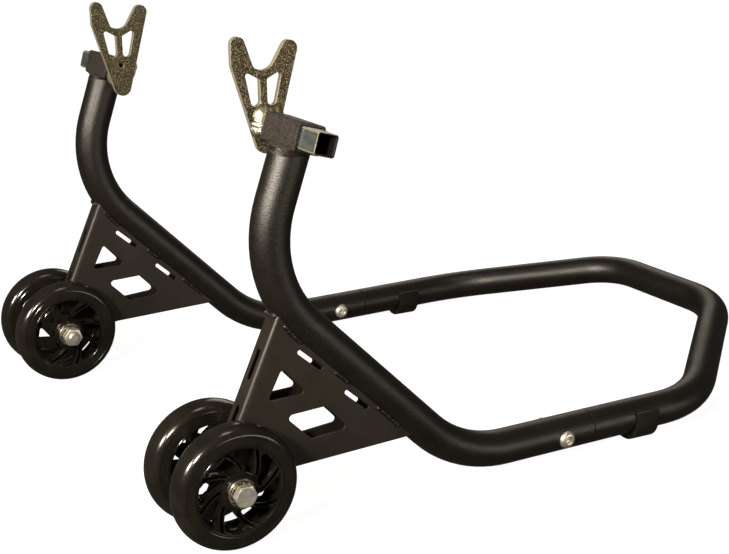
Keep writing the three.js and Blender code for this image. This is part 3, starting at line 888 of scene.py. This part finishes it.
def make_axle(side):
    outer_face = ARM_Y + WHEEL_OFFSET + BOSS_HALF_WIDTH
    inner_face = ARM_Y - WHEEL_OFFSET - BOSS_HALF_WIDTH
    washer_thickness, clearance = 1.6, 0.3
    head_from = outer_face + washer_thickness + 2 * clearance
    nut_from = inner_face - washer_thickness - 2 * clearance
    nut_to = nut_from - 8.4

    bolt = Shape()
    bearing_face = 7.4
    add_turned(bolt, [(bearing_face, head_from), (bearing_face, head_from + 0.5)], outboard, joined=False)
    add_hexagon(bolt, M10_FLATS, (head_from + 0.4, head_from + 6), outboard, turned=0.5)
    add_thread(bolt, M10_RADIUS, M10_PITCH, (head_from + 1, nut_to - 2.4), outboard)
    add_piece("axle_hex_bolt", bolt, side, ZINC, node="axle_bolt")

    nut = Shape()
    add_hexagon(nut, M10_FLATS, (nut_from, nut_to), outboard, turned=0.4, bore=5.0)
    add_piece("axle_hex_nut", nut, side, ZINC, node="axle_nut")

    for node, near, direction in (("axle_washer_head", outer_face, 1), ("axle_washer_nut", inner_face, -1)):
        start = near + direction * clearance
        end = start + direction * washer_thickness
        washer = Shape()
        add_washer(washer, 5.1, 10.25, 0.35, start, end, outboard)
        add_piece(f"round_{node}", washer, side, OLIVE, node=node)

    tube = Shape()
    half = WHEEL_OFFSET - BOSS_HALF_WIDTH - clearance
    low, high = ARM_Y - half, ARM_Y + half
    profile = [(5.2, low), (7.6, low), (8, low + 0.4), (8, high - 0.4), (7.6, high), (5.2, high)]
    add_turned(tube, profile, outboard)
    add_piece("axle_sleeve", tube, side, COAT, node="axle_tube")


# ---- Wheels ----


def make_tyre(where, middle):
    """A solid tyre: round crown, a step down to a flat sidewall ring and a bead against the rim."""
    crown_start, crown_radius, half_width = 42.6, 50, 12
    half = []
    for angle in arc_angles(0, math.pi / 2, 14):
        radius = crown_start + (crown_radius - crown_start) * math.cos(angle)
        half.append((radius, half_width * math.sin(angle)))
    half += [
        (crown_start - 0.3, half_width - 0.25),
        (crown_start - 0.8, half_width - 0.25),
        (crown_start - 1.2, half_width),
        (38.5, half_width + 0.2),
        (36.3, half_width + 0.25),
        (35.95, half_width + 0.1),
        (35.85, half_width - 0.6),
    ]
    profile = [(radius, middle - depth) for radius, depth in half[1:]][::-1]
    profile += [(radius, middle + depth) for radius, depth in half]
    shape = Shape()
    add_turned(shape, profile, outboard, sides=128)
    add_piece("rubber_tyre", shape, where, RUBBER, "wheel", "tyre", sharp_above=24)


SPOKES = 8
SPOKE_STEP = 360 / SPOKES


def polar(radius, degrees):
    return at_angle(radius, math.radians(degrees))


def spoke_opening(degrees):
    """One opening between two spokes. Its inner end lags behind its outer end by the swirl."""
    swirl, inner_half, outer_half = 30, 13, 17.8
    corners = [
        (15.6, -inner_half, 1.5),
        (24.5, 0.60 * swirl - 17.5, 12),
        (33.6, swirl - outer_half, 3.4),
        (33.8, swirl, 30),
        (33.6, swirl + outer_half, 3.4),
        (24.0, 0.60 * swirl + 15.0, 14),
        (15.6, inner_half, 1.5),
    ]
    placed = [(*polar(radius, degrees + lag), rounding) for radius, lag, rounding in corners]
    return rounded_outline(placed, arc_step=18)


def spoke_groove(degrees):
    """The long pocket down the middle of a spoke, with a round outer end."""
    width, steps = 2.8, 8
    start, middle, end = (polar(r, degrees + lag) for r, lag in ((17, 1), (24.5, 17.5), (32.4, 29.5)))
    bend = 2 * middle - (start + end) / 2
    line = []
    for k in range(steps + 1):
        t = k / steps
        line.append(start * (1 - t) ** 2 + bend * 2 * t * (1 - t) + end * t**2)
    left, right = [], []
    for i, point in enumerate(line):
        along = (line[min(steps, i + 1)] - line[max(0, i - 1)]).normalized() * width / 2
        aside = Vector((-along.y, along.x))
        left.append(point + aside)
        right.append(point - aside)
    round_end = [
        line[-1] + along * math.cos(angle) + aside * math.sin(angle)
        for angle in arc_angles(-math.pi / 2, math.pi, 8)[1:-1]
    ]
    return right + round_end + left[::-1]


def make_hub(where, middle, phase, turned_round):
    """A moulded hub: swirled spokes between a boss and a flat rim, each with a pocket down to its web."""
    swirl_way = -1 if turned_round else 1

    def place(u, v, depth):
        return Vector((u, middle + swirl_way * depth, AXLE_Z + swirl_way * v))

    openings = [spoke_opening(phase + SPOKE_STEP * k) for k in range(SPOKES)]
    grooves = [spoke_groove(phase + SPOKE_STEP * (k + 0.5)) for k in range(SPOKES)]
    spoke_face, web_face, spoke_back = 11.0, 3.6, -1.0
    rounding = 0.45
    outline = circle(34.6, sides=120)
    shape = Shape()
    front, back = (web_face, spoke_face), (spoke_back, web_face)
    add_plate(shape, outline, openings + grooves, front, place, bevels=(0, rounding), caps=(False, True))
    add_plate(shape, outline, openings, back, place, bevels=(rounding, 0))
    rim = RIM_HALF_WIDTH
    rim_profile = [
        (33.6, spoke_face - 0.2),
        (33.8, rim - 0.5),
        (34.2, rim - 0.1),
        (34.5, rim),
        (35.5, rim),
        (RIM_RADIUS, rim - 0.2),
    ]
    boss_profile = [
        (14.9, 10.9),
        (13.9, 11.5),
        (13.5, 12.4),
        (13.4, BOSS_HALF_WIDTH - 0.5),
        (13.0, BOSS_HALF_WIDTH),
        (11.4, BOSS_HALF_WIDTH),
        (11.1, BOSS_HALF_WIDTH - 0.3),
        (11.1, 8.5),
    ]
    for profile, sides in ((rim_profile, 120), (boss_profile, 96)):
        other_half = [(radius, -depth) for radius, depth in profile[::-1]]
        add_turned(shape, profile + other_half, place, sides)
    add_piece("spoked_hub", shape, where, PLASTIC, "wheel", "hub")


def make_bearings(where, middle):
    """Ball bearings with their shields, one flush with each end of the boss."""
    section = [
        (5.3, 6),
        (5.3, 0.3),
        (5.6, 0),
        (6.9, 0),
        (7.1, 0.4),
        (9.3, 0.4),
        (9.5, 0),
        (10.7, 0),
        (11, 0.3),
        (11, 6),
    ]
    for node, direction in (("bearing_out", 1), ("bearing_in", -1)):
        face = middle + direction * BOSS_HALF_WIDTH
        shape = Shape()
        profile = [(radius, face - direction * depth) for radius, depth in section]
        add_turned(shape, profile, outboard, sides=64)
        add_piece(f"ball_{node}", shape, where, BEARING_STEEL, "wheel", node)


def make_wheel(side, place):
    """One of a side's two wheels. The inner one faces the other way and stands at another turn."""
    is_inner = place == "inner"
    middle = ARM_Y - WHEEL_OFFSET if is_inner else ARM_Y + WHEEL_OFFSET
    where = f"{side}_{place}"
    make_tyre(where, middle)
    make_hub(where, middle, phase=27.5 if is_inner else 12, turned_round=is_inner)
    make_bearings(where, middle)


# ---- Head of the arm: socket, slide tube, hook plate and lock bolt ----


def head_place(u, v, y):
    """From the socket's own tilted axes: u towards the handle, v up, y along the socket."""
    turned_x = u * math.cos(SOCKET_TILT) + v * math.sin(SOCKET_TILT)
    turned_z = -u * math.sin(SOCKET_TILT) + v * math.cos(SOCKET_TILT)
    return SOCKET_CENTRE + Vector((turned_x, y, turned_z))


def lock_place(y, v, depth):
    """Round the lock bolt's line, with depth along u."""
    return head_place(depth, v, y)


def rounded_square(side_length, radius):
    half = side_length / 2
    corners = [(-half, -half, radius), (half, -half, radius), (half, half, radius), (-half, half, radius)]
    return rounded_outline(corners)


def add_square_tube(shape, side_length, wall, ends, outer_radius, lip):
    """A square tube along the socket's line, with rounded lips outside and inside."""
    outer = rounded_square(side_length, outer_radius)
    inner = rounded_square(side_length - 2 * wall, 0.8)
    inner_lip, inner_lip_depth = 0.3, 0.4
    low, high = ends

    def ring(loop, inset, y):
        return [head_place(*point, y) for point in inset_loop(loop, [inset] * len(loop))]

    def end_rings(end, inward):
        return [
            ring(inner, 0, end + inward * inner_lip_depth),
            ring(inner, -inner_lip, end),
            ring(outer, lip, end),
            ring(outer, 0.3 * lip, end + inward * 0.3 * lip),
            ring(outer, 0, end + inward * lip),
            ring(outer, 0, end + inward * 3 * lip),
        ]

    shape.add_rings(end_rings(low, 1) + end_rings(high, -1)[::-1], joined=True)


def socket_axes(vector):
    """The same vector along the socket's own axes: u, v and y."""
    u = vector.x * math.cos(SOCKET_TILT) - vector.z * math.sin(SOCKET_TILT)
    v = vector.x * math.sin(SOCKET_TILT) + vector.z * math.cos(SOCKET_TILT)
    return u, v, vector.y


def coat_faces(piece, side, material, chosen):
    """Another material for the faces where chosen(middle, normal) holds, both along the socket's axes."""
    piece.data.materials.append(material)
    index = len(piece.data.materials) - 1
    unmirror = Vector((1, SIDES[side], 1))
    for polygon in piece.data.polygons:
        middle = polygon.center * unmirror * 1000 - Vector((AXLE_X, 0, 0)) - SOCKET_CENTRE
        if chosen(socket_axes(middle), socket_axes(polygon.normal * unmirror)):
            polygon.material_index = index


def is_end_on(middle, normal):
    return abs(normal[2]) > 0.8


def is_cut_edge(middle, normal):
    return abs(normal[2]) < 0.8


def is_inside_slide(middle, normal):
    return max(abs(middle[0]), abs(middle[1])) < SLIDE_SIDE / 2 - SLIDE_WALL / 2


# The tube's cut ends, and its rounded corners, where the cream is a painted highlight.
def is_slide_end_or_corner(middle, normal):
    return abs(normal[2]) > 0.3 or min(abs(normal[0]), abs(normal[1])) > 0.3


def make_socket(side):
    shape = Shape()
    ends = (-SOCKET_HALF_LENGTH, SOCKET_HALF_LENGTH)
    add_square_tube(shape, SOCKET_SIDE, SOCKET_WALL, ends, 2.2, 0.6)
    socket = add_piece("square_socket", shape, side, SOCKET_COAT, node="socket")
    coat_faces(socket, side, COAT, is_end_on)
    make_socket_weld(side)


def make_socket_weld(side):
    """The painted fillet that closes the arm's tube and spreads along the socket's underside."""
    half_u = SOCKET_SIDE / 2 + 0.2
    half_y = 20.5
    axis = (ARM_TOP - ARM_BELLY).normalized()
    up = head_place(0, 1, 0) - SOCKET_CENTRE
    forward = head_place(1, 0, 0) - SOCKET_CENTRE
    inside_socket = 1.8 - SOCKET_SIDE / 2
    least_depth, added_depth = 3.0, 4.6  # the fillet hangs lowest in front of the arm and behind it
    seed_place = Vector((SIDES[side] * 3.0, 0, 0))
    rings = []
    for share in (0, 0.04, 0.14, 0.3, 0.48, 0.66, 0.82, 0.94, 1.0, 1.05):
        ring = []
        for angle in full_turn(96):
            depth = least_depth + added_depth * abs(math.cos(angle + 0.45)) ** 1.5
            v = inside_socket - depth * (1 - share) - 1.2 * abs(math.sin(angle))
            height = SOCKET_CENTRE + up * v
            centre = ARM_TOP + axis * ((height - ARM_TOP).dot(up) / axis.dot(up))
            around = forward * math.cos(angle) + Vector((0, math.sin(angle), 0))
            tube_point = centre + around * (TUBE_RADIUS + 0.1)
            boxed = 1 / max(abs(math.cos(angle)) / half_u, abs(math.sin(angle)) / half_y)
            point = tube_point.lerp(height + around * boxed, min(1.0, share) ** 1.3)
            lump = noise.noise(point * 0.30 + seed_place)
            ring.append(point + around * (0.5 + lump) * math.sin(math.pi * min(1.0, share)))
        rings.append(ring)
    shape = Shape()
    shape.add_rings(rings, start_cap=True, end_cap=True)
    add_piece("socket_weld", shape, side, SOCKET_COAT, sharp_above=60)


def make_slide_tube(side):
    shape = Shape()
    ends = (HOOK_FACE + 0.05, SLIDE_OUTER_END)
    add_square_tube(shape, SLIDE_SIDE, SLIDE_WALL, ends, 2.4, 0.35)
    tube = add_piece("square_slide_tube", shape, side, BLUE_ZINC, "slide", "slide_tube")
    # Cream on the cut ends, and on the rounded corners as a painted highlight.
    coat_faces(tube, side, CUT_EDGE_AND_HIGHLIGHT, is_slide_end_or_corner)
    # The inside gets a near-black colour as painted shade.
    coat_faces(tube, side, INSIDE_SHADE, is_inside_slide)


def hook_loops():
    """The hook plate, with its notch for the spool open upwards between two tips, and its holes."""
    foot = (11.6, -42, 8.2)
    long_tip = (9.5, 105, 6.5)
    notch = [(-8.6, 38, 10), (-21.5, 38, 4.5)]
    short_tip = (-54.2, 84.3, 5.8)
    shoulder = (-39.5, 35.7, 3)
    outline = rounded_outline([foot, long_tip, *notch, short_tip, shoulder])
    left_window = rounded_outline([(2, -23, 4), (-14.5, 31.2, 1.5), (-28.7, 34.3, 2.2)])
    right_window = rounded_outline([(4.5, -11.8, 3.7), (1.8, 42.4, 2.5), (-8.9, 32.6, 1.5)])
    return outline, [left_window, right_window, circle(2.7, -3, 5.9, sides=32)]


def make_hook_plate(side):
    outline, holes = hook_loops()
    shape = Shape()
    depths = (HOOK_FACE - HOOK_THICKNESS, HOOK_FACE)
    add_plate(shape, outline, holes, depths, head_place, bevels=(0.35, 0.35))
    plate = add_piece("spool_hook", shape, side, OLIVE, "slide", "hook_plate")
    coat_faces(plate, side, CUT_EDGE_AND_HIGHLIGHT, is_cut_edge)


def make_hook_weld(side):
    """Bright lumpy weld all round the slide tube, thickest where it meets the hook plate."""
    corners = [point.to_3d() for point in rounded_square(SLIDE_SIDE, 2.6)]
    loop = [point.to_2d() for point in spaced(corners + corners[:1], 0.7)[:-1]]
    first_y = HOOK_FACE - 0.1
    ring_step = 1.15
    rings = []
    for number, proud in enumerate((4.6, 4.4, 3.9, 3.3, 2.6, 1.8, 1.0, 0.2, -0.3)):
        y = first_y + ring_step * number
        ring = []
        for point, moved in zip(loop, inset_loop(loop, [-proud] * len(loop))):
            outward = (moved - point).normalized()
            coarse = Vector((point.x * 0.24, point.y * 0.24, y * 0.10 + SIDES[side] * 5.0))
            fine = Vector((point.x * 0.75, point.y * 0.75, y * 0.6 + SIDES[side] * 2.0))
            lump = 2.6 * noise.noise(coarse) + 0.7 * noise.noise(fine)
            ring.append(head_place(*(moved + outward * lump * min(1.0, abs(proud))), y))
        rings.append(ring)
    inside = inset_loop(loop, [1.0] * len(loop))
    for y in (HOOK_FACE + 9.3, first_y):
        rings.append([head_place(*point, y) for point in inside])
    shape = Shape()
    shape.add_rings(rings, joined=True)
    add_piece("hook_weld", shape, side, WELD, "slide", sharp_above=60)


def make_lock_bolt(side):
    """The clamping bolt in its weld nut on the socket's face towards the handle."""
    nut_from = SOCKET_SIDE / 2 + 0.05
    nut_to = nut_from + 6.75
    washer_from = nut_to + 3
    washer_to = washer_from + 1.6
    head_from = washer_to + 0.3
    head_to = head_from + 5.3

    nut = Shape()
    add_hexagon(nut, M8_FLATS, (nut_from, nut_to), lock_place, turned=0.52, bore=4.25)
    add_piece("lock_weld_nut", nut, side, COAT, node="lock_nut")

    washer = Shape()
    add_washer(washer, 4.3, 8, 0.3, washer_from, washer_to, lock_place)
    add_piece("round_lock_washer", washer, side, ZINC, "lock_washer", "lock_washer")

    bolt = Shape()
    add_hexagon(bolt, M8_FLATS, (head_from, head_to), lock_place, turned=0.2)
    add_thread(bolt, M8_RADIUS, M8_PITCH, (head_from + 1, SLIDE_SIDE / 2 + 0.3), lock_place)
    add_piece("hex_lock_bolt", bolt, side, ZINC, "lock_bolt", "lock_bolt")


# ---- The whole stand ----


def make_side(side):
    make_arm(side)
    make_foot(side)
    make_joint_bolt(side)
    make_bracket(side)
    make_axle(side)
    make_wheel(side, "outer")
    make_wheel(side, "inner")
    make_socket(side)
    make_slide_tube(side)
    make_hook_plate(side)
    make_hook_weld(side)
    make_lock_bolt(side)


def finish_hidden_nodes():
    """The joint sleeves and bearing spacers stay CAD solids inside other pieces."""
    finishes = {"joint_sleeve": COAT, "bearing_spacer": ZINC}
    for name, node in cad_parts.items():
        for kind, finish in finishes.items():
            if name.startswith(kind):
                node.data.materials.clear()
                node.data.materials.append(finish)


make_handle()
make_side("right")
make_side("left")
finish_hidden_nodes()

# ---- Studio ----

LAMP_COLOUR = (1.0, 0.90, 0.76)


def add_floor():
    """A plain floor that neither lights the stand from below nor mirrors in it."""
    mesh = bpy.data.meshes.new("studio_floor")
    half = 2.5
    corners = [(-half, -half, 0), (half, -half, 0), (half, half, 0), (-half, half, 0)]
    mesh.from_pydata(corners, [], [(0, 1, 2, 3)])
    mesh.materials.append(studio_floor())
    floor = bpy.data.objects.new("studio_floor", mesh)
    bpy.context.scene.collection.objects.link(floor)
    floor.visible_diffuse = False
    floor.visible_glossy = False


def add_light(name, place, target, size, power):
    light = bpy.data.lights.new(name, "AREA")
    light.shape = "RECTANGLE"
    light.size, light.size_y = size
    light.energy = power
    light.color = LAMP_COLOUR
    holder = bpy.data.objects.new(name, light)
    holder.location = place
    direction = Vector(target) - Vector(place)
    holder.rotation_euler = direction.to_track_quat("-Z", "Y").to_euler()
    bpy.context.scene.collection.objects.link(holder)


def add_world(seen, lighting):
    """A plain backdrop: as bright as `seen` and white to the camera, as `lighting` and warm to the rest."""
    world = bpy.data.worlds.new("studio")
    world.use_nodes = True
    tree = world.node_tree
    background = tree.nodes["Background"]
    is_seen = tree.nodes.new("ShaderNodeLightPath").outputs["Is Camera Ray"]
    strength = tree.nodes.new("ShaderNodeMapRange")
    strength.inputs["To Min"].default_value = lighting
    strength.inputs["To Max"].default_value = seen
    tint = tree.nodes.new("ShaderNodeMix")
    tint.data_type = "RGBA"
    tint.inputs["A"].default_value = (*LAMP_COLOUR, 1)
    tint.inputs["B"].default_value = (1, 1, 1, 1)
    tree.links.new(is_seen, strength.inputs["Value"])
    tree.links.new(is_seen, tint.inputs["Factor"])
    tree.links.new(strength.outputs["Result"], background.inputs["Strength"])
    tree.links.new(tint.outputs["Result"], background.inputs["Color"])
    bpy.context.scene.world = world


def add_camera():
    place = Vector((-0.6614, -1.0538, 0.4785))
    forward = Vector((0.4767, 0.8324, -0.2828)).normalized()
    level_right = forward.cross(Vector((0, 0, 1))).normalized()
    roll = Matrix.Rotation(math.radians(-0.80), 3, forward)
    right = roll @ level_right
    up = right.cross(forward)
    turned = Matrix((right, up, -forward)).transposed().to_4x4()
    turned.translation = place
    camera = bpy.data.cameras.new("camera")
    camera.sensor_width = 36
    camera.lens = 65.7
    camera.shift_x = 0.0061
    camera.shift_y = -0.0008
    holder = bpy.data.objects.new("camera", camera)
    holder.matrix_world = turned
    bpy.context.scene.collection.objects.link(holder)
    bpy.context.scene.camera = holder


add_floor()
add_world(seen=1.02, lighting=0.075)
add_light("key", (-2.8, -0.75, 1.35), (-0.25, -0.2, 0.28), (0.5, 0.6), 115)
add_light("top", (-0.1, -0.3, 2.4), (0, 0, 0.1), (0.5, 0.5), 5)
add_light("front", (1.0, -2.2, 0.30), (0, 0, 0.15), (1.8, 0.5), 13)
add_light("lamp", (-0.95, -0.72, 0.62), (-0.23, -0.2, 0.27), (0.12, 0.12), 17)
add_light("back", (1.8, 2.4, 1.5), (0, 0, 0.15), (1.5, 1.5), 11)
add_camera()
bpy.context.scene.view_settings.view_transform = "Standard"
